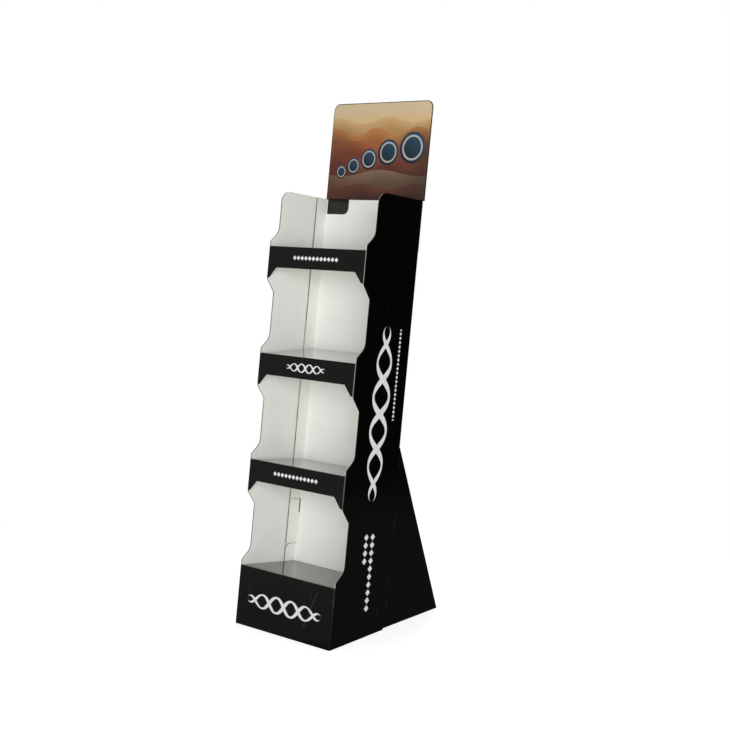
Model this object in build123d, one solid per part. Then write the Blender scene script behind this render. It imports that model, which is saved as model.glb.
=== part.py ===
from build123d import *
import os
from math import atan2, cos, degrees, radians, sin, tan

# Floor display stand folded from corrugated board, in millimetres.
# Every piece is first drawn standing upright: X is across the front, Y is the depth
# behind the front face and Z is the height along the front face. At the end each one
# leans back about the front bottom edge and is trimmed by the floor.

# Board and folds, and how far a cut runs past the board
board = 3.5
fold_inside = 1.0
cut_margin = 1.0

# Folded body
body_width = 360.0
body_depth = 224.0
lean_angle = 8.24
base_height = 168.0
tier_pitch = 302.0
top_tier_height = 160.0
side_corner_radius = 30.0

# Windows cut through the front and round both front folds
lip_height = 59.5
lip_corner_radius = 6.0
ear_width = 33.5
ear_flat = 8.5
ear_drop = 29.5
ear_corner_radius = 4.0
ear_fall = 39.5
side_recess = 33.5
shoulder_height = 11.0
step_height = 32.5
step_radius = 34.0
recess_corner_radius = 4.0

# Top edge of the back panel
tongue_width = 180.0
notch_depth = 43.0
notch_radius = 18.0

# Glue flap, inside the left side panel
flap_width = 46.5
flap_upper_radius = 6.0
flap_lower_radius = 16.0

# Hooks of the rear easel, pushed through slots in the rear corners
hook_low = 218.0
hook_height = 130.0
hook_neck_height = 90.0
hook_corner_radius = 3.0
hook_play = 2.0
slot_play = 0.5

# Lugs on the rear edges of the side panels, outside the easel's wings
lug_reach = 10.0
lug_corner_radius = 3.0
lower_lug_low = 85.0
lower_lug_height = 99.0
upper_lug_low = 308.0
upper_lug_height = 108.0

# Rear easel
easel_height = 544.0
easel_reach = 477.0
easel_front_lift = 2.0

# Shelves: how far the back of each one stands above square to the front
shelf_gap = 1.0
shelf_flange = 40.0
base_shelf_rise = -3.5
lower_shelf_rise = -3.0
middle_shelf_rise = 23.0
top_shelf_rise = -3.0

# Header card
header_board = 3.0
header_overhang = 2.0
header_rise = 280.0
header_corner_radius = 21.0
header_overlap = 150.0
header_foot_radius = 10.0

# Places worked out from the sizes above
half_width = body_width / 2
beyond = half_width + cut_margin
half_board = board / 2
fold_outside = fold_inside + board
shelf_rises = (base_shelf_rise, lower_shelf_rise, middle_shelf_rise, top_shelf_rise)
shelf_names = ("base_shelf", "lower_shelf", "middle_shelf", "top_shelf")
shelf_levels = [base_height + tier * tier_pitch for tier in range(len(shelf_rises))]
inside_half_width = half_width - board
back_face = body_depth - board
flap_front = body_depth - flap_width
top_lip_level = shelf_levels[-1]
side_top = top_lip_level + top_tier_height
through_rear_fold = (back_face - fold_inside - cut_margin, body_depth + cut_margin)
hook_high = hook_low + hook_height
neck_high = hook_low + hook_neck_height
slot_low = hook_low - hook_play
slot_high = hook_high + hook_play


def outline(*corners):
    """Closed flat outline from corners given as (across, up, corner radius)."""
    points = [(across, up) for across, up, _ in corners]
    radii = [radius for _, _, radius in corners]
    return make_face(FilletPolyline(*points, radius=radii, close=True))


def folded_strip(*corners):
    """Edge-on view of one board that follows the corners of its middle line with round folds."""
    middle = FilletPolyline(*corners, radius=fold_inside + half_board)
    return trace(middle, board)


def front_plate(shape, near, far):
    """Outline drawn in width and height, made solid from one depth to another."""
    return Pos(0, far, 0) * extrude(Plane.XZ * shape, far - near)


def side_plate(shape, left, right):
    """Outline drawn in depth and height, made solid from one width to another."""
    return Pos(left, 0, 0) * extrude(Plane.YZ * shape, right - left)


def block(widths, depths, heights):
    """Plain block between two widths, two depths and two heights."""
    low, high = zip(widths, depths, heights)
    size = [end - start for start, end in zip(low, high)]
    return Pos(*low) * Box(*size, align=Align.MIN)


def both_sides(piece):
    """The piece and its mirror image on the other side of the stand."""
    return piece + mirror(piece, Plane.YZ)


def side_view():
    """Side panels from the side: flat top, rounded front corner, step down to the top lip."""
    shoulder = top_lip_level + shoulder_height
    return outline(
        (-board, -board, 0),
        (body_depth + board, -board, 0),
        (body_depth + board, side_top, 0),
        (side_recess, side_top, side_corner_radius),
        (side_recess, shoulder + step_height, step_radius),
        (0, shoulder, 0),
        (-board, shoulder, 0),
    )


def window(level):
    """Cut for the tier that stands on the given level, through the front and both sides."""
    lip_foot = level + tier_pitch - lip_height
    ear_tip = lip_foot - ear_drop
    shoulder = level + shoulder_height
    front = outline(
        (-beyond, level, 0),
        (beyond, level, 0),
        (beyond, ear_tip, 0),
        (half_width - ear_flat, ear_tip, ear_corner_radius),
        (half_width - ear_width, lip_foot, lip_corner_radius),
        (ear_width - half_width, lip_foot, lip_corner_radius),
        (ear_flat - half_width, ear_tip, ear_corner_radius),
        (-beyond, ear_tip, 0),
    )
    side = outline(
        (0, shoulder, 0),
        (side_recess, shoulder + step_height, step_radius),
        (side_recess, ear_tip - ear_fall, recess_corner_radius),
        (0, ear_tip, 0),
    )
    return front_plate(front, -cut_margin, board) + side_plate(side, -beyond, beyond)


def back_notch(outer_edge):
    """Notch in the back panel's top, from the raised tongue out to the given width."""
    ledge = side_top - notch_depth
    above = side_top + cut_margin
    shape = outline(
        (tongue_width / 2, ledge, notch_radius),
        (outer_edge, ledge, 0),
        (outer_edge, above, 0),
        (tongue_width / 2, above, 0),
    )
    return front_plate(shape, back_face - cut_margin, body_depth + cut_margin)


def flap_gap():
    """Gap in the glue flap that leaves room for the left hook, with rounded flap ends."""
    inner = board - inside_half_width
    gap = block(
        (-inside_half_width, inner),
        (flap_front - cut_margin, body_depth + cut_margin),
        (slot_low, slot_high),
    )
    lower_end = rounded_corner_waste(slot_low, -flap_lower_radius)
    upper_end = rounded_corner_waste(slot_high, flap_upper_radius)
    gap += side_plate(lower_end + upper_end, -inside_half_width, inner)
    return gap + mirror(hook_slot(), Plane.YZ)


def rounded_corner_waste(level, radius):
    """What rounding takes off a flap end: a square corner less a circle, up or down from a level."""
    size = abs(radius)
    centre = Pos(flap_front + size, level + radius)
    square = Pos(flap_front + size / 2, level + radius / 2) * Rectangle(size, size)
    return square - centre * Circle(size)


def hook_slot():
    """Slot in the back panel, beside the right side panel, that the hook goes through."""
    inner = inside_half_width - board - slot_play
    return block((inner, inside_half_width), through_rear_fold, (slot_low, slot_high))


def lug(low, height, front):
    """Lug that carries the right side panel straight on behind the back panel."""
    tip = body_depth + lug_reach
    shape = outline(
        (front, low, 0),
        (tip, low, lug_corner_radius),
        (tip, low + height, lug_corner_radius),
        (front, low + height, 0),
    )
    return side_plate(shape, inside_half_width, half_width)


def lug_opening(low, height):
    """Opening that a lug leaves in the back panel that it was cut from."""
    inner = inside_half_width - lug_reach
    return block((inner, inside_half_width), through_rear_fold, (low, low + height))


def make_body_wrap():
    """Front, sides and back folded from one sheet and glued inside the left side panel."""
    side = half_width - half_board
    rear = body_depth - half_board
    flap = inside_half_width - half_board
    front_half = folded_strip((-side, body_depth), (-side, half_board), (side, half_board), (side, rear / 2))
    rear_half = folded_strip((side, rear / 2), (side, rear), (-flap, rear), (-flap, flap_front))
    tube = Pos(0, 0, -board) * extrude(front_half + rear_half, side_top + 2 * board)
    body = tube & side_plate(side_view(), -beyond, beyond)
    body -= block((-beyond, beyond), (-cut_margin, board), (top_lip_level, side_top + cut_margin))
    for level in shelf_levels[:-1]:
        body -= window(level)
    body -= back_notch(inside_half_width - fold_inside)
    body -= mirror(back_notch(inside_half_width - board - fold_inside), Plane.YZ)
    body -= flap_gap()
    body -= hook_slot()
    lugs = ((lower_lug_low, lower_lug_height), (upper_lug_low, upper_lug_height))
    for low, height in lugs:
        body -= lug_opening(low, height)
        body += lug(low, height, body_depth - fold_outside)
        body += mirror(lug(low, height, body_depth), Plane.YZ)
    return body


def make_shelf(level, rear_rise, end_flange):
    """Shelf folded from one sheet, its four flanges down, flush with the lip at the front."""
    inner_half = inside_half_width - shelf_gap
    front = board + half_board
    rear = back_face - half_board
    top = level - half_board
    panel_angle = atan2(rear_rise, rear - front)
    panel_length = (rear - front) / cos(panel_angle)
    ends = folded_strip(
        (front, top - end_flange),
        (front, top),
        (rear, top + rear_rise),
        (rear, top + rear_rise - end_flange),
    )
    end_half = inner_half - fold_outside
    sides = folded_strip(
        (half_board - inner_half, -shelf_flange),
        (half_board - inner_half, 0),
        (inner_half - half_board, 0),
        (inner_half - half_board, -shelf_flange),
    )
    side_part = front_plate(sides, fold_outside, panel_length - fold_outside)
    tray = side_plate(ends, -end_half, end_half)
    tray += Pos(0, front, top) * Rot(degrees(panel_angle), 0, 0) * side_part
    return tray - flap_clearance(level, end_flange + abs(rear_rise) + board)


def flap_clearance(level, reach):
    """Corner of a shelf cut away round the glue flap, to a reach above and below its level."""
    return block(
        (-half_width, board + shelf_gap - inside_half_width),
        (flap_front - shelf_gap, body_depth),
        (level - reach, level + reach),
    )


def hook_blank():
    """Opening in the easel's spine that the right hook was folded out of."""
    root = inside_half_width - board
    tip = root - flap_width - board
    shape = outline(
        (tip, slot_low, hook_corner_radius),
        (root, slot_low, 0),
        (root, slot_high, 0),
        (tip, slot_high, hook_corner_radius),
    )
    return front_plate(shape, body_depth - cut_margin, body_depth + board + fold_inside)


def neck_relief():
    """Takes the spine's fold away above the hook's neck."""
    root = inside_half_width - board
    return block((root, beyond), (body_depth - cut_margin, body_depth + board), (neck_high, slot_high))


def hook():
    """Right hook: it runs straight forward from the wing and up behind the back panel."""
    root = body_depth + fold_outside
    catch = back_face - fold_inside - hook_play
    shape = outline(
        (flap_front, hook_low, hook_corner_radius),
        (root, hook_low, 0),
        (root, neck_high, 0),
        (catch, neck_high, 0),
        (catch, hook_high, 0),
        (flap_front, hook_high, hook_corner_radius),
    )
    return side_plate(shape, inside_half_width - board, inside_half_width)


def make_rear_easel():
    """Spine on the back panel and two wings that reach back to the floor, from one sheet."""
    lean = radians(lean_angle)
    foot_depth = easel_reach * cos(lean)
    foot_level = easel_reach * sin(lean)
    front_level = body_depth * tan(lean) + easel_front_lift / cos(lean)
    middle = inside_half_width - half_board
    section = folded_strip(
        (-middle, foot_depth),
        (-middle, body_depth + half_board),
        (middle, body_depth + half_board),
        (middle, foot_depth),
    )
    profile = outline(
        (body_depth, front_level, 0),
        (foot_depth, foot_level, 0),
        (body_depth + board, easel_height, 0),
        (body_depth, easel_height, 0),
    )
    easel = extrude(section, easel_height) & side_plate(profile, -beyond, beyond)
    easel -= both_sides(hook_blank() + neck_relief())
    easel += hook()
    easel += mirror(hook(), Plane.YZ)
    return easel


def make_header_card():
    """Printed card behind the back panel, with a narrower foot below the side panels' tops."""
    head_half = half_width + header_overhang
    top = side_top + header_rise
    foot = side_top - header_overlap
    shape = outline(
        (-inside_half_width, foot, header_foot_radius),
        (inside_half_width, foot, header_foot_radius),
        (inside_half_width, side_top, 0),
        (head_half, side_top, 0),
        (head_half, top, header_corner_radius),
        (-head_half, top, header_corner_radius),
        (-head_half, side_top, 0),
        (-inside_half_width, side_top, 0),
    )
    return front_plate(shape, body_depth, body_depth + header_board)


def lean_back(piece):
    """Leans the upright piece back, trims it at the floor and centres the stand in depth."""
    room = 2 * (side_top + header_rise + easel_reach + body_width)
    above_floor = Box(room, room, room, align=(Align.CENTER, Align.CENTER, Align.MIN))
    leaning = (Rot(-lean_angle, 0, 0) * piece) & above_floor
    return Pos(0, -easel_reach / 2, 0) * leaning


nodes = {
    "body_wrap": make_body_wrap(),
    "rear_easel": make_rear_easel(),
    "header_card": make_header_card(),
}
for name, level, rise in zip(shelf_names, shelf_levels, shelf_rises):
    end_flange = shelf_flange if level > base_height else base_height
    nodes[name] = make_shelf(level, rise, end_flange)

os.makedirs("parts", exist_ok=True)
for name, piece in nodes.items():
    export_step(lean_back(piece), f"parts/{name}.step")
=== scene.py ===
# %% [markdown]
# # A leaning display stand of folded cardboard
# This notebook dresses the solids of a floor display stand that is folded from corrugated board:
# a black printed body with open tiers, four glossy trays, a printed header card and a rear easel.
# The solids already have the true board thickness, folds and cut-outs, so they are shown as they
# are. The work here is in the finishes, the light and the camera.

import math

import bpy
import numpy as np
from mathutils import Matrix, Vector

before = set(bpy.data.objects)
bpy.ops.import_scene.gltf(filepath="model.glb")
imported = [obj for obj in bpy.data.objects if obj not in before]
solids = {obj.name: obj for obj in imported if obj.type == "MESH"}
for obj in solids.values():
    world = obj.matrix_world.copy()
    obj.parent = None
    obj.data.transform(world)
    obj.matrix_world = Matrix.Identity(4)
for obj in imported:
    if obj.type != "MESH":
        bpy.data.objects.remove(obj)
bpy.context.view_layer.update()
print("solids:", ", ".join(sorted(solids)))

# %% [markdown]
# ## Arithmetic for shaders
# A finish that knows where it is on the stand needs a lot of small sums: how deep a point lies in
# the board, whether it lies on a fold, which flute is cut there. Each sum is a Math node. Writing
# the nodes one by one hides the idea, so a small class wraps a socket and turns plain Python
# arithmetic into nodes. Any other node comes from its one method `node`.

# %% A wire that can be added, multiplied and compared


class Wire:
    """An output of a node. Arithmetic on wires adds Math nodes to the same material."""

    def __init__(self, tree, socket=None):
        self.tree, self.socket = tree, socket

    def node(self, kind, settings=None, sockets=None, output=0):
        """Adds a node: first its settings, then the values or links of its sockets."""
        new = self.tree.nodes.new(kind)
        for key, value in (settings or {}).items():
            setattr(new, key, value)
        for key, value in (sockets or {}).items():
            if isinstance(value, Wire):
                self.tree.links.new(value.socket, new.inputs[key])
            else:
                new.inputs[key].default_value = value
        return Wire(self.tree, None if output is None else new.outputs[output])

    def math(self, operation, *values):
        return self.node("ShaderNodeMath", {"operation": operation}, dict(enumerate(values)))

    def __add__(self, other):
        return self.math("ADD", self, other)

    __radd__ = __add__

    def __sub__(self, other):
        return self.math("SUBTRACT", self, other)

    def __rsub__(self, other):
        return self.math("SUBTRACT", other, self)

    def __mul__(self, other):
        return self.math("MULTIPLY", self, other)

    __rmul__ = __mul__

    def __truediv__(self, other):
        return self.math("DIVIDE", self, other)

    def __rtruediv__(self, other):
        return self.math("DIVIDE", other, self)

    def __gt__(self, other):
        return self.math("GREATER_THAN", self, other)

    def __lt__(self, other):
        return self.math("LESS_THAN", self, other)

    def __abs__(self):
        return self.math("ABSOLUTE", self)


# %% [markdown]
# A few words are used in every finish: the larger and the smaller of two values, a soft step from 0
# to 1, a choice between two values, a blend of two colours, and noise. They keep the finishes below
# short enough to read. Colours go through Mix nodes, because a Math node would turn them grey.

# %% Words for masks and colours
MM_IN_M = 1000.0


def larger(a, b):
    return a.math("MAXIMUM", a, b)


def smaller(a, b):
    return a.math("MINIMUM", a, b)


def rise(value, low, high):
    """0 below low, 1 above high and a smooth curve between."""
    places = {"Value": value, "From Min": low, "From Max": high}
    return value.node("ShaderNodeMapRange", {"interpolation_type": "SMOOTHSTEP"}, places)


def choose(mask, yes, no):
    """yes where the mask is 1, no where it is 0: no + mask * (yes - no)."""
    return mask.node("ShaderNodeMix", {"data_type": "FLOAT"}, {0: mask, 2: no, 3: yes})


def blend(mask, under, over):
    """Colour under, covered by colour over where the mask is 1."""
    colours = [(*c, 1.0) if isinstance(c, tuple) else c for c in (under, over)]
    sockets = {0: mask, 6: colours[0], 7: colours[1]}
    return mask.node("ShaderNodeMix", {"data_type": "RGBA"}, sockets, 2)


def noise(place, size, detail=2.0, stretch=(1.0, 1.0, 1.0)):
    """Noise from 0 to 1 with spots of about this size in millimetres, stretched along an axis."""
    scale = [MM_IN_M / size / longer for longer in stretch]
    scaled = place.node("ShaderNodeMapping", None, {"Vector": place, "Scale": scale})
    sockets = {"Vector": scaled, "Scale": 1.0, "Detail": detail}
    return place.node("ShaderNodeTexNoise", None, sockets, "Fac")


# %% [markdown]
# ## Where a point is on the stand
# The stand was drawn upright and then leaned back, so patterns that follow the board need the
# upright place of each point. Turning the object coordinates forward again by the same angle gives
# three lengths in millimetres: x across the front, t the depth behind the front face, and s the
# height along the front face.

# %% Upright place of a point
LEAN = math.radians(8.24)
FRONT_EDGE = 238.5
BODY_HALF = 180.0
BODY_DEPTH = 224.0
SIDE_TOP = 1234.0
BOARD = 3.5
FOLD = 4.5


def upright_place(place):
    """x, t and s in millimetres: t = (y + e) cos a - z sin a and s = (y + e) sin a + z cos a."""
    split = place.node("ShaderNodeSeparateXYZ", None, {0: place}).socket.node
    x, y, z = (Wire(place.tree, output) * MM_IN_M for output in split.outputs)
    behind = y + FRONT_EDGE
    t = behind * math.cos(LEAN) - z * math.sin(LEAN)
    s = behind * math.sin(LEAN) + z * math.cos(LEAN)
    return x, t, s


print("lean in degrees:", round(math.degrees(LEAN), 2))

# %% [markdown]
# ## Corrugated board as a solid texture
# Real corrugated board is two paper liners with a wavy sheet between them. Wherever it is cut, the
# cut shows that inside: a wave where the knife crosses the flutes, and two pale lines with a dark
# gap where it runs along them. A picture stuck on the edge could not follow the curved windows, but
# a solid texture can. It only needs two numbers: how deep the point lies under the printed face, and
# how far along the panel it lies, across the flutes. The flutes of this stand run upright.

# %% Depth under the printed face


def depth_in_shell(*gaps, radius=FOLD):
    """Depth under a rounded shell, 0 on its outside and negative inside.

    Each gap is the distance past one outer face, g. With v = max(g + r, 0) for each face, the depth
    is |v| + min(max(g) + r, 0) - r, the distance to a box with edges of radius r.
    """
    square, widest = None, None
    for gap in gaps:
        moved = gap + radius
        over = larger(moved, 0.0)
        square = over * over if square is None else square + over * over
        widest = moved if widest is None else larger(widest, moved)
    length = square.math("SQRT", square)
    return length + smaller(widest, 0.0) - radius


# %% [markdown]
# The cut face is drawn in the same way for every sheet. The liners are 0.45 mm thick, the wave
# between them swings from one to the other every 6.4 mm, and the knife has pressed some of the gaps
# shut, which noise decides. The open gaps get a dark brown: kraft paper, darkened as painted shade for
# the hollows. The die cuts from the printed side and drags some of the black print over the cut, most
# of all round the windows of the body, where it draws a thin dark line.

# %% The cut edge of corrugated board
FLUTE_PITCH = 6.4
LINER = 0.45
SOFT = 0.05
DRAGGED_PRINT = (0.8, 1.6)
CUT_PAPER = (0.74, 0.71, 0.58)
# brown kraft in the open flute gaps, darkened as painted shade for the hollows
CUT_GAP_KRAFT_AND_SHADE = (0.33, 0.28, 0.19)


def flutes(along):
    """A wave from -1 to 1 that repeats with the flutes: the sine of 2 pi a / pitch."""
    return along.math("SINE", along * (math.tau / FLUTE_PITCH))


def cut_edge(place, depth, along, thickness, dragged):
    """Mask of the cut faces, and of the paper in them; dragged is the least and most print."""
    least, most = dragged
    wrap = noise(place, 6.0, 3.0) * (most - least) + least
    cut = rise(-1.0 * depth - wrap, -SOFT, SOFT)
    cut = cut * rise(depth, 0.30 - thickness, 0.36 - thickness)
    swing = thickness / 2 - LINER
    wave = flutes(along) * swing - thickness / 2
    medium = 1.0 - rise(abs(depth - wave), 0.20, 0.40)
    liners = rise(abs(depth + thickness / 2), swing - SOFT, swing + SOFT)
    pressed = rise(noise(place, 3.0, 3.0), 0.52, 0.60) * 0.7
    return cut, larger(larger(medium, liners), pressed)


print("flutes in a metre:", round(MM_IN_M / FLUTE_PITCH))

# %% [markdown]
# ## White liner
# The inside of the stand is the plain white side of the board. It isn't one flat white: the paper
# has a faint cloudiness, tiny fibres and specks, and the flutes behind it show as soft stripes a few
# hundredths of a millimetre high. Those stripes go into the bump, with a very small change of tone.

# %% White paper with flutes behind it
WHITE_PAPER = (0.825, 0.845, 0.795)
WHITE_SHADE = (0.775, 0.795, 0.742)
SPECK = (0.42, 0.39, 0.33)


def white_liner(place, along):
    """Colour of the white side and its height in millimetres."""
    stripes = flutes(along)
    clouds = noise(place, 90.0, 3.0)
    fibres = noise(place, 1.6, 2.0, (1.0, 1.0, 3.0))
    tone = clouds * 0.55 + fibres * 0.25 + stripes * 0.035
    colour = blend(rise(tone, 0.30, 0.62), WHITE_PAPER, WHITE_SHADE)
    specks = rise(noise(place, 4.5, 4.0), 0.735, 0.765)
    colour = blend(specks * 0.35, colour, SPECK)
    height = stripes * 0.016 + fibres * 0.012 + clouds * 0.10
    return colour, height


print("brightness of the white paper:", round(sum(WHITE_PAPER) / 3, 3))

# %% [markdown]
# ## Black print
# The outside carries a full black print under a glossy varnish. It shows the flutes as a very faint
# washboard, bends a little between them, and has the marks of use: fine rubbed scratches and a duller
# cloud where hands touch it. Along the folds, where the print stretches, a lighter grey line is partly
# print wear and partly a painted highlight. The gloss is most of its look: seen flat along a tray, it
# mirrors the white walls behind.

# %% Black varnished print
BLACK_INK = (0.0015, 0.0013, 0.0013)
RUBBED_INK = (0.030, 0.028, 0.028)
# grey of print wear on folds and creases, and partly a painted highlight along the folds
FOLD_WEAR_AND_HIGHLIGHT = (0.115, 0.108, 0.102)


def black_print(place, along, fold, gloss):
    """Colour, roughness and height of the print; fold is 1 on the folds, gloss the least roughness."""
    stripes = flutes(along)
    clouds = noise(place, 160.0, 3.0)
    scratches = rise(noise(place, 9.0, 4.0, (1.0, 1.0, 14.0)), 0.60, 0.74)
    rubs = scratches * rise(clouds, 0.45, 0.65)
    colour = blend(rubs * 0.35, BLACK_INK, RUBBED_INK)
    # lighter grey along the folds: print wear, and partly a painted highlight
    wear_and_highlight = fold * rise(noise(place, 7.0, 4.0, (1.0, 1.0, 4.0)), 0.46, 0.72)
    colour = blend(wear_and_highlight * 0.12, colour, FOLD_WEAR_AND_HIGHLIGHT)
    roughness = gloss * (clouds * 0.5 + 1.0) + rubs * 0.10 + wear_and_highlight * 0.15
    height = stripes * 0.006 + noise(place, 2.2, 2.0) * 0.003 + clouds * 0.45
    return colour, roughness, height


# %% [markdown]
# ## Motifs of the print
# Plain motifs take the place of a print's words and pictures: braids of two waves, and rows of small
# diamonds. A braid is two sine curves in opposite phase, drawn as ribbons that are thick on the
# slopes and thin at the turns, as a broad pen would draw them, and that thin out towards the ends.

# %% Braids and rows of diamonds
BRAID_TURNS = 2.5
INK_EDGE = 0.15


def braid(u, v, length, height):
    """Mask of two ribbons |v -+ a sin k| < w, with w = h (0.05 + 0.11 cos^2 k), thinning to the ends."""
    angle = u * (math.tau * BRAID_TURNS / length)
    way_out = u * (2.0 / length)
    ends = larger(1.0 - way_out * way_out, 0.0)
    slope = angle.math("COSINE", angle)
    width = (0.050 + 0.110 * (slope * slope)) * height * ends.math("SQRT", ends)
    swing = angle.math("SINE", angle) * (height * 0.40) * ends.math("POWER", ends, 0.35)
    near = smaller(abs(v - swing), abs(v + swing))
    return rise(width - near, -INK_EDGE, INK_EDGE) * (abs(u) < length / 2)


def diamonds(u, v, length, size, pitch):
    """Mask of a row of diamonds |u'| + |v| < size / 2, u' being the way from the nearest centre."""
    nearest = pitch / 2 - u.math("PINGPONG", u, pitch / 2)
    return rise(size / 2 - nearest - abs(v), -INK_EDGE, INK_EDGE) * (abs(u) < length / 2)


# %% [markdown]
# The motifs have their places in two small tables, one for the front panel with its lips and one for
# the side panels, where they run upwards. Each row starts with the middle of a motif. A braid goes on
# with its length and its height, and a row of diamonds with its length, a diamond's size and the pitch.

# %% Places of the motifs
FRONT_MOTIFS = (
    (braid, 0.0, 80.0, (276.0, 54.0)),
    (diamonds, 0.0, 441.0, (168.0, 13.0, 14.0)),
    (braid, 0.0, 742.0, (144.0, 29.0)),
    (diamonds, 0.0, 1044.0, (168.0, 13.0, 14.0)),
)
SIDE_MOTIFS = (
    (braid, 638.0, 119.0, (478.0, 84.0)),
    (diamonds, 747.0, 178.5, (252.0, 10.0, 12.0)),
    (diamonds, 266.0, 112.0, (88.0, 19.0, 22.0)),
    (diamonds, 200.0, 139.0, (220.0, 19.0, 22.0)),
)


def all_motifs(table, along, up):
    """Mask of every motif of a table, drawn around its own middle."""
    mask = None
    for motif, along_middle, up_middle, sizes in table:
        new = motif(along - along_middle, up - up_middle, *sizes)
        mask = new if mask is None else larger(mask, new)
    return mask


print("motifs on the front:", len(FRONT_MOTIFS), "and on each side:", len(SIDE_MOTIFS))

# %% [markdown]
# ## Putting a finish on a solid
# Every sheet is finished in the same way: the print where the depth is near 0, the white liner where
# it is near the board's thickness, and the cut between them. The colour, the roughness and the
# height then go to one Principled shader, the height through a Bump node. Constants are set on the
# shader's own sockets.

# %% Finish a sheet of board
LIGHT_INK = (0.74, 0.74, 0.75)
PAPER_ROUGHNESS = 0.62
# colour of the painted shade that darkens the white liner
LINER_PAINTED_SHADE = (0.22, 0.18, 0.12)
CLEAR_COAT_ROUGHNESS = 0.04


def start_finish(name):
    """A new material's tree and the object coordinates in it."""
    material = bpy.data.materials.new(name)
    material.use_nodes = True
    material.node_tree.nodes.clear()
    return material, Wire(material.node_tree).node("ShaderNodeTexCoord", output="Object")


def finish_sheet(material, place, depth, along, printed, thickness=BOARD, dragged=DRAGGED_PRINT,
                 painted_liner_shade=None, varnish=0.0):
    """Print, white liner and cut edge on one sheet.

    printed is (colour, roughness, height) of the print, dragged the least and most of it on the
    cuts, the next argument a mask of painted shade on the liner and varnish the weight of a clear coat on
    the print.
    """
    colour, roughness, height = printed
    white, white_height = white_liner(place, along)
    # painted shade: the white liner is darkened where the mask says
    if painted_liner_shade is not None:
        white = blend(painted_liner_shade, white, LINER_PAINTED_SHADE)
    cut, paper = cut_edge(place, depth, along, thickness, dragged)
    inside = depth < 0.33 - thickness
    colour = blend(inside, colour, white)
    # cut faces: pale paper, and the open gaps darkened as painted shade
    colour = blend(cut, colour, blend(paper, CUT_GAP_KRAFT_AND_SHADE, CUT_PAPER))
    roughness = choose(larger(inside, cut), PAPER_ROUGHNESS, roughness)
    height = choose(cut, paper * 0.30, choose(inside, white_height, height))
    bump = height.node("ShaderNodeBump", None, {"Height": height, "Distance": 0.001, "Strength": 1.0})
    sockets = {"Base Color": colour, "Roughness": roughness, "Normal": bump}
    if varnish > 0.0:
        sockets["Coat Weight"] = choose(larger(inside, cut), 0.0, varnish)
        sockets["Coat Roughness"] = CLEAR_COAT_ROUGHNESS
    shader = height.node("ShaderNodeBsdfPrincipled", None, sockets)
    height.node("ShaderNodeOutputMaterial", None, {"Surface": shader}, None)
    print(material.name, "has", len(material.node_tree.nodes), "nodes")
    return material


# %% [markdown]
# ## The body
# The body is one sheet folded round four corners, with a glue flap inside the left panel. Its right
# rear corner is rounded like the front ones. At the left rear corner the side panel ends in a cut
# edge and the back panel turns in behind it, 3.5 mm further in. The depth under the printed face is
# worked out for each of these, and from it follow the print, the white inside and the cut edges.
# Three marks of painted shade darken the white liner: a painted shadow just in front of the flap's edge,
# painted shade inside the slot behind the hook, and a grey band of painted shade along its top edge.

# %% Depth in the folded body
FLAP_FRONT = 177.5
BACK_FACE = BODY_DEPTH - BOARD


def body_depth_under_print(x, t):
    """Depth in the body's board: one rounded tube, its rear left corner turned in by the board."""
    centre = BODY_DEPTH / 2
    rear_or_front = abs(t - centre) - centre
    tube = depth_in_shell(abs(x) - BODY_HALF, rear_or_front)
    turned_in = depth_in_shell(-1.0 * x - (BODY_HALF - BOARD), t - BODY_DEPTH)
    straight = abs(x) - BODY_HALF
    rear_left = choose(x < BOARD - BODY_HALF + SOFT, straight, turned_in)
    depth = choose((x < 0.0) * (t > centre), rear_left, tube)
    return choose(t > BODY_DEPTH + 0.1, straight, depth)


print("the flap is", round(BODY_DEPTH - FLAP_FRONT, 1), "mm wide")

# %% [markdown]
# Three marks go on the sheet. A faint crease runs across the base panel: it is drawn near
# the line through two of its points, with a slow bend. The liner has its painted shade. The cuts have the
# black that the knife dragged over them, less of it on the flap's edge than round the windows.

# %% Crease, painted shade on the liner and dragged print
CREASE_START, CREASE_END = (70.9, 28.2), (125.5, 154.9)
CREASE_FADE = 25.0
# width of the painted shadow on the left panel just before the flap's edge
FLAP_SHADOW_WIDTH = 4.0
SLOT_MIDDLE, SLOT_HALF = 328.0, 21.0
IN_LEFT_PANEL, IN_LEFT_CORNER = 4.0 - BODY_HALF, 9.0 - BODY_HALF
DRAGGED_ON_FLAP, DRAGGED_ROUND_WINDOWS = (0.9, 1.7), (2.2, 3.1)


def crease(x, s):
    """Mask of the crease: the distance across its line less a sine of the way forward on it."""
    (x0, s0), (x1, s1) = CREASE_START, CREASE_END
    length = math.hypot(x1 - x0, s1 - s0)
    across = ((x - x0) * (s1 - s0) - (s - s0) * (x1 - x0)) / length
    forward = ((x - x0) * (x1 - x0) + (s - s0) * (s1 - s0)) / length
    bend = forward.math("SINE", forward / 21.0) * 1.6
    within = rise(forward, 0.0, CREASE_FADE) * (1.0 - rise(forward, length - CREASE_FADE, length))
    return (1.0 - rise(abs(across - bend), 0.2, 1.5)) * within


def painted_shade_on_liner(place, x, t, s):
    """Mask of painted shade on the liner: a shadow before the flap's edge, shade in the slot and along
    the top edge.
    """
    # painted shadow on the left panel just in front of the flap's edge
    line = rise(t, FLAP_FRONT - FLAP_SHADOW_WIDTH, FLAP_FRONT - 1.0) * (t < FLAP_FRONT + 0.1)
    line = line * rise(noise(place, 70.0), 0.10, 0.60) * 0.8 * (x < IN_LEFT_PANEL)
    # painted shade inside the slot behind the hook
    slot = (t > BACK_FACE - 2.5) * (abs(s - SLOT_MIDDLE) < SLOT_HALF) * (x < IN_LEFT_CORNER)
    # painted shade in a grey band along the liner's top edge
    top = rise(s, SIDE_TOP - 1.8, SIDE_TOP - 0.4) * 0.55
    return larger(larger(line, slot), top)


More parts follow.
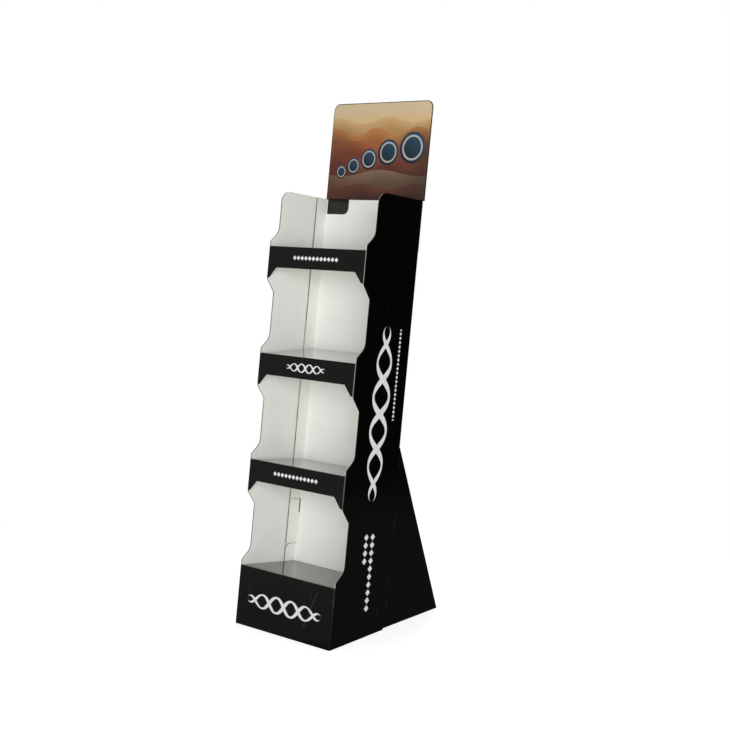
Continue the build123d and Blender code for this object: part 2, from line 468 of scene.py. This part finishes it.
def dragged_on_body(x, t):
    """The least and the most print dragged over a cut, less of it on the flap's edge."""
    in_flap = abs(x + BODY_HALF - 1.5 * BOARD) < BOARD / 2 + SOFT
    flap_edge = (abs(t - FLAP_FRONT) < 1.0) * in_flap
    both = zip(DRAGGED_ON_FLAP, DRAGGED_ROUND_WINDOWS)
    return tuple(choose(flap_edge, on_flap, round_windows) for on_flap, round_windows in both)


# %% Finish of the body


def finish_body():
    """Black print with motifs outside, white liner inside, flutes in the cut edges."""
    material, place = start_finish("black_printed_board")
    x, t, s = upright_place(place)
    depth = body_depth_under_print(x, t)
    side = (abs(x) > BODY_HALF - 2 * BOARD - 0.1) * (t > BOARD + 0.1)
    along = choose(side, t, x)
    near_fold = 1.0 - rise(abs(abs(x) - BODY_HALF + 1.3) + smaller(t, BODY_DEPTH - t), 0.4, 2.6)
    colour, roughness, height = black_print(place, along, near_fold, 0.16)
    front = t < 1.0
    colour = blend(crease(x, s) * front * 0.35, colour, FOLD_WEAR_AND_HIGHLIGHT)
    motifs = choose(side, all_motifs(SIDE_MOTIFS, s, t), all_motifs(FRONT_MOTIFS, x, s) * front)
    printed = blend(motifs, colour, LIGHT_INK), roughness, height
    # painted shade on the liner: before the flap's edge, in the slot and along the top edge
    painted_liner_shade = painted_shade_on_liner(place, x, t, s)
    return finish_sheet(material, place, depth, along, printed, BOARD, dragged_on_body(x, t), painted_liner_shade)


# %% [markdown]
# ## The rear easel
# The easel is a second sheet, printed black on the side that faces out. Its spine is glued to the
# back panel and its two wings run on behind the side panels, so the print is on the wings' outer
# faces and the white side looks inwards and to the rear. Its hooks run straight on from the wings.

# %% Finish of the easel


def finish_easel():
    """Black print on the wings' outer faces and the spine's front, white liner on the rest."""
    material, place = start_finish("black_easel_board")
    x, t, _ = upright_place(place)
    wing = abs(x) - (BODY_HALF - BOARD)
    depth = choose(t < BODY_DEPTH - 0.1, wing, depth_in_shell(wing, BODY_DEPTH - t))
    along = choose(abs(x) > BODY_HALF - 2 * BOARD - 0.1, t, x)
    near_fold = 1.0 - rise(abs(wing) + abs(t - BODY_DEPTH - FOLD), 0.5, 3.0)
    return finish_sheet(material, place, depth, along, black_print(place, along, near_fold, 0.18))


# %% [markdown]
# ## The trays
# Each shelf is a tray with its flanges turned down. Its upper side is black and the glossiest part of
# the stand: seen at a flat angle it mirrors the white walls and even the seam in the corner, which is
# why it looks grey. The depth is worked out from the tray's own plane, because each tray slopes a
# little differently. Each has its own weight of clear varnish, so that the mirror image comes out as
# bright as in the photograph. The table gives each tray's level and rise in millimetres, and that weight.

# %% Finish of a tray
TRAY_GAP = 1.0
TRAYS = {
    "base_shelf": (168.0, -3.5, 0.10),
    "lower_shelf": (470.0, -3.0, 0.45),
    "middle_shelf": (772.0, 23.0, 0.90),
    "top_shelf": (1074.0, -3.0, 0.90),
}


def finish_tray(name, level, rear_rise, varnish):
    """Depth above the tray's plane is (s - level - slope (t - start)) cos(atan(slope))."""
    material, place = start_finish("glossy_tray_" + name.split("_")[0])
    x, t, s = upright_place(place)
    slope = rear_rise / (BODY_DEPTH - 3 * BOARD)
    above = (s - level - (t - 1.5 * BOARD) * slope) * math.cos(math.atan(slope))
    ends = larger(BOARD - t, t - (BODY_DEPTH - BOARD))
    depth = depth_in_shell(abs(x) - (BODY_HALF - BOARD - TRAY_GAP), ends, above)
    near_fold = 1.0 - rise(abs(above) + abs(t - BOARD), 0.5, 3.0)
    printed = black_print(place, x, near_fold, 0.03)
    return finish_sheet(material, place, depth, x, printed, varnish=varnish)


# %% [markdown]
# ## The header card
# The header carries the only colour on the stand: a warm print that goes from sand through amber and
# brick to a dark foot. Here it is built from fields with wavy edges. Each field has an edge
# s = level + swing * sin(x / wave + phase), and covers all that is below it, as torn sheets of paper
# laid over each other would. Each field is lightest at its crest and darkens downwards. The card is
# darker towards its lower corners, and its rim and foot are nearly black.

# %% The header's fields
HEADER_HALF, HEADER_TOP, HEADER_FOOT, HEADER_CORNER = 182.0, 1514.0, 1237.0, 21.0
HEADER_BOARD = 3.0
FIELDS = (
    (1462.0, 9.0, 31.0, 0.6, (0.560, 0.360, 0.160), (0.430, 0.235, 0.090)),
    (1430.0, 12.0, 24.0, 2.1, (0.450, 0.200, 0.062), (0.300, 0.105, 0.035)),
    (1396.0, 10.0, 38.0, 4.0, (0.330, 0.105, 0.036), (0.180, 0.048, 0.022)),
    (1352.0, 14.0, 29.0, 0.2, (0.210, 0.058, 0.028), (0.105, 0.030, 0.019)),
    (1312.0, 9.0, 45.0, 1.3, (0.200, 0.125, 0.080), (0.110, 0.066, 0.044)),
    (1274.0, 8.0, 33.0, 3.3, (0.120, 0.044, 0.026), (0.046, 0.018, 0.014)),
)
SKY = (0.600, 0.470, 0.300)
SKY_LOW = (0.620, 0.430, 0.215)
DUSK = (0.040, 0.022, 0.018)
EMBER = (0.085, 0.024, 0.017)
DARK_RIM = (0.020, 0.014, 0.012)


def header_fields(x, s, grain):
    """Colour of the fields: each covers what is below s = level + swing sin(x / wave + phase)."""
    colour = blend(rise(s + grain * 20.0, 1450.0, 1505.0), SKY_LOW, SKY)
    for level, swing, wave, phase, crest, foot in FIELDS:
        below = x.math("SINE", x / wave + phase) * swing + level - s
        shade = blend(rise(below + grain * 14.0, -4.0, 42.0), crest, foot)
        colour = blend(rise(below, -0.3, 0.3), colour, shade)
    low = 1.0 - rise(s, 1385.0, 1470.0)
    colour = blend(low * rise(x, 10.0, 190.0) * 0.7, colour, DUSK)
    colour = blend(low * (1.0 - rise(x, -170.0, -20.0)) * 0.5, colour, EMBER)
    rim = depth_in_shell(abs(x) - HEADER_HALF, s - HEADER_TOP, radius=HEADER_CORNER)
    colour = blend(rise(rim, -2.6, -1.6), colour, DARK_RIM)
    return blend(s < HEADER_FOOT, colour, BLACK_INK)


print("fields on the header:", len(FIELDS))

# %% [markdown]
# Slate blue rings of growing size cross the fields. Each is a disc that is lighter to one side, with a
# pale band at three quarters of its radius. The table gives the middle of each ring and its radius.

# %% The header's rings
SLATE = (0.020, 0.056, 0.092)
SLATE_DARK = (0.008, 0.020, 0.036)
RING_LIGHT = (0.50, 0.48, 0.44)
RINGS = (
    (-134.0, 1316.0, 19.0),
    (-89.0, 1333.0, 24.0),
    (-33.0, 1352.0, 30.0),
    (37.0, 1371.0, 37.0),
    (123.0, 1383.0, 45.0),
)


def with_rings(colour, x, s):
    """The colour with a disc where |p - c| < r and a pale band where |p - c| is near 0.74 r."""
    for across, up, radius in RINGS:
        square = (x - across) * (x - across) + (s - up) * (s - up)
        distance = square.math("SQRT", square)
        disc = blend(rise(s + x * 0.5 - up - across * 0.5, -radius, radius), SLATE_DARK, SLATE)
        colour = blend(rise(radius - distance, -0.3, 0.3), colour, disc)
        half_band = radius * 0.06
        band = 1.0 - rise(abs(distance - radius * 0.74), half_band, half_band + 0.5)
        colour = blend(band * 0.8, colour, RING_LIGHT)
    return colour


def finish_header():
    """Printed and varnished front, white rear, cut edges between."""
    material, place = start_finish("colour_printed_board")
    x, t, s = upright_place(place)
    clouds = noise(place, 90.0, 3.0)
    height = flutes(x) * 0.006 + clouds * 0.15
    colour = with_rings(header_fields(x, s, noise(place, 26.0, 4.0) - 0.5), x, s)
    printed = colour, 0.14 + clouds * 0.06, height
    return finish_sheet(material, place, BODY_DEPTH - t, x, printed, HEADER_BOARD, (1.2, 2.6))


print("rings on the header:", len(RINGS))

# %% [markdown]
# Each solid now gets its finish. Only the material slot changes; the mesh stays as it was packed.

# %% Dress the solids


def dress(name, material):
    solids[name].data.materials.clear()
    solids[name].data.materials.append(material)


dress("body_wrap", finish_body())
dress("rear_easel", finish_easel())
dress("header_card", finish_header())
for name, tray in TRAYS.items():
    dress(name, finish_tray(name, *tray))

# %% [markdown]
# ## Floor
# The stand is photographed on white. The floor is a real surface that takes its shadow. What the
# camera sees of it is lifted to white with a little light of its own, and further out it passes into
# plain white. Its shape comes from a ring sector: points on circles round the stand's own middle.

# %% A surface from a grid of points


def grid_surface(name, points):
    """Mesh of quads through an array of points [u, v], each an (x, y, z)."""
    rows, columns = points.shape[:2]
    index = np.arange(rows * columns).reshape(rows, columns)
    quads = np.stack([index[:-1, :-1], index[1:, :-1], index[1:, 1:], index[:-1, 1:]], -1)
    mesh = bpy.data.meshes.new(name)
    mesh.from_pydata(points.reshape(-1, 3).tolist(), [], quads.reshape(-1, 4).tolist())
    surface = bpy.data.objects.new(name, mesh)
    bpy.context.scene.collection.objects.link(surface)
    return surface


def ring_sector(radii, azimuths, heights, steps=24):
    """Points (r sin a, -r cos a, z); r and z go from their first value to their second with v."""
    a, v = np.meshgrid(np.radians(np.linspace(*azimuths, steps)), np.linspace(0, 1, 2), indexing="ij")
    r, z = (first + (second - first) * v for first, second in (radii, heights))
    return np.stack([r * np.sin(a), -r * np.cos(a), z], -1)


# %% Floor
FLOOR_COLOUR = (0.93, 0.93, 0.93)
FLOOR_LIFT = 0.54
FLOOR_RADIUS = 9.0
FADE_START, FADE_END = 0.8, 1.6


def seen_directly(wire):
    """1 for rays from the camera, from a mirror-like surface and through glass."""
    path = wire.node("ShaderNodeLightPath").socket.node
    names = ("Is Camera Ray", "Is Glossy Ray", "Is Transmission Ray")
    camera_ray, glossy_ray, glass_ray = (Wire(wire.tree, path.outputs[name]) for name in names)
    return smaller(camera_ray + glossy_ray + glass_ray, 1.0)


def finish_floor():
    """White paint near the stand, with a little light of its own for the camera, then plain white."""
    material, place = start_finish("white_floor")
    away = place.node("ShaderNodeVectorMath", {"operation": "LENGTH"}, {0: place}, "Value")
    seen = seen_directly(place)
    paint = place.node("ShaderNodeBsdfDiffuse", None, {"Color": (*FLOOR_COLOUR, 1.0)})
    lift = place.node("ShaderNodeEmission", None, {"Strength": seen * FLOOR_LIFT})
    near = place.node("ShaderNodeAddShader", None, {0: paint, 1: lift})
    white = place.node("ShaderNodeEmission", None, {"Strength": 1.0})
    fade = seen * rise(away, FADE_START, FADE_END)
    mixed = place.node("ShaderNodeMixShader", None, {0: fade, 1: near, 2: white})
    place.node("ShaderNodeOutputMaterial", None, {"Surface": mixed}, None)
    return material


floor = grid_surface("floor", ring_sector((0.0, FLOOR_RADIUS), (0.0, 360.0), (0.0, 0.0), 49))
floor.data.materials.append(finish_floor())
print("floor faces:", len(floor.data.polygons))

# %% [markdown]
# ## Flags
# Glossy black board mirrors the room, so a studio hangs dark cloth where the camera would see it
# mirrored: round the right and the rear, round the left, and on the floor. Only reflections see the
# cloth here; it takes no light from the stand. Azimuths go from the front, 0, to the right, 90. A gap
# is left between the two rings of cloth, where the bright studio shows in the folds.

# %% Cloth round the stand
CLOTH_COLOUR = (1.0, 0.92, 0.86)
FLAG_RADIUS = 1.7
FLAG_TOP = 3.0
CLOTH_ON_FLOOR = 0.001
LEFT_START, LEFT_END, RIGHT_START, RIGHT_END = -128.0, 12.0, 78.0, 232.0


def hang_flag(name, points, level):
    """Dark, slightly warm cloth of a plain level that only reflections see."""
    flag = grid_surface(name, points)
    material, place = start_finish(name)
    cloth = place.node("ShaderNodeEmission", None, {"Color": (*CLOTH_COLOUR, 1.0), "Strength": level})
    place.node("ShaderNodeOutputMaterial", None, {"Surface": cloth}, None)
    flag.data.materials.append(material)
    for ray in ("camera", "diffuse", "transmission", "volume_scatter", "shadow"):
        setattr(flag, "visible_" + ray, False)


def hanging(*azimuths):
    return ring_sector((FLAG_RADIUS, FLAG_RADIUS), azimuths, (0.0, FLAG_TOP))


def lying(*azimuths):
    return ring_sector((0.0, FLAG_RADIUS), azimuths, (CLOTH_ON_FLOOR, CLOTH_ON_FLOOR))


hang_flag("flag_right", hanging(RIGHT_START, RIGHT_END), 0.004)
hang_flag("flag_left", hanging(LEFT_START, LEFT_END), 0.26)
hang_flag("flag_floor", lying(LEFT_END, RIGHT_END), 0.06)
hang_flag("flag_floor_left", lying(LEFT_START, LEFT_END), 0.17)
print("open to the studio from azimuth", LEFT_END, "to", RIGHT_START)

# %% [markdown]
# ## Light
# A large soft light stands behind the camera. It lights the back panel and, more weakly, the left
# panel, as in the photograph. Its lower edge is high enough that the folds of the upper lips catch
# it while the base does not. A weak one behind the stand on the left keeps the rear readable.

# %% Lights
STAND_MIDDLE = (0.0, 0.0, 0.75)
KEY_PLACE, KEY_SIZE, KEY_WATTS = (2.80, -3.48, 1.50), (2.8, 2.0), 152.0
REAR_PLACE, REAR_SIZE, REAR_WATTS = (-2.00, 3.20, 1.70), (1.8, 1.8), 60.0


def soft_light(name, place, size, watts):
    """Rectangular area light at a place, turned to the middle of the stand."""
    lamp = bpy.data.lights.new(name, "AREA")
    lamp.shape, lamp.size, lamp.size_y, lamp.energy = "RECTANGLE", size[0], size[1], watts
    holder = bpy.data.objects.new(name, lamp)
    bpy.context.scene.collection.objects.link(holder)
    holder.location = place
    aim = Vector(place) - Vector(STAND_MIDDLE)
    holder.rotation_euler = aim.to_track_quat("Z", "Y").to_euler()
    print(name, "light stands", round(aim.length, 2), "m away")


soft_light("key", KEY_PLACE, KEY_SIZE, KEY_WATTS)
soft_light("rear", REAR_PLACE, REAR_SIZE, REAR_WATTS)

# %% [markdown]
# The world fills the shadows with a weak even light. The camera, mirror-like surfaces and glass see
# it at full strength instead, which gives the plain white background.

# %% World
WORLD_FILL = 0.35

world = bpy.data.worlds.new("studio")
bpy.context.scene.world = world
world.use_nodes = True
world.node_tree.nodes.clear()
sky = Wire(world.node_tree)
strength = choose(seen_directly(sky), 1.0, WORLD_FILL)
background = sky.node("ShaderNodeBackground", None, {"Color": (1, 1, 1, 1), "Strength": strength})
sky.node("ShaderNodeOutputWorld", None, {"Surface": background}, None)
print("world nodes:", len(world.node_tree.nodes))

# %% [markdown]
# ## Camera
# The photograph was taken from the right, a little below the top of the stand, with a normal lens.
# Place, turn and focal length come from the straight edges of the stand in the picture.

# %% Camera
CAMERA_PLACE = (2.4800, -2.8021, 1.2557)
CAMERA_DOWN = 7.99
CAMERA_TURN = 40.31
LENS, SENSOR = 66.13, 36.0

camera_data = bpy.data.cameras.new("camera")
camera_data.lens, camera_data.sensor_width = LENS, SENSOR
camera = bpy.data.objects.new("camera", camera_data)
bpy.context.scene.collection.objects.link(camera)
camera.location = CAMERA_PLACE
camera.rotation_euler = (math.radians(90 - CAMERA_DOWN), 0.0, math.radians(CAMERA_TURN))
bpy.context.scene.camera = camera
bpy.context.scene.view_settings.view_transform = "Standard"
print("view is", round(math.degrees(camera_data.angle), 1), "degrees wide")
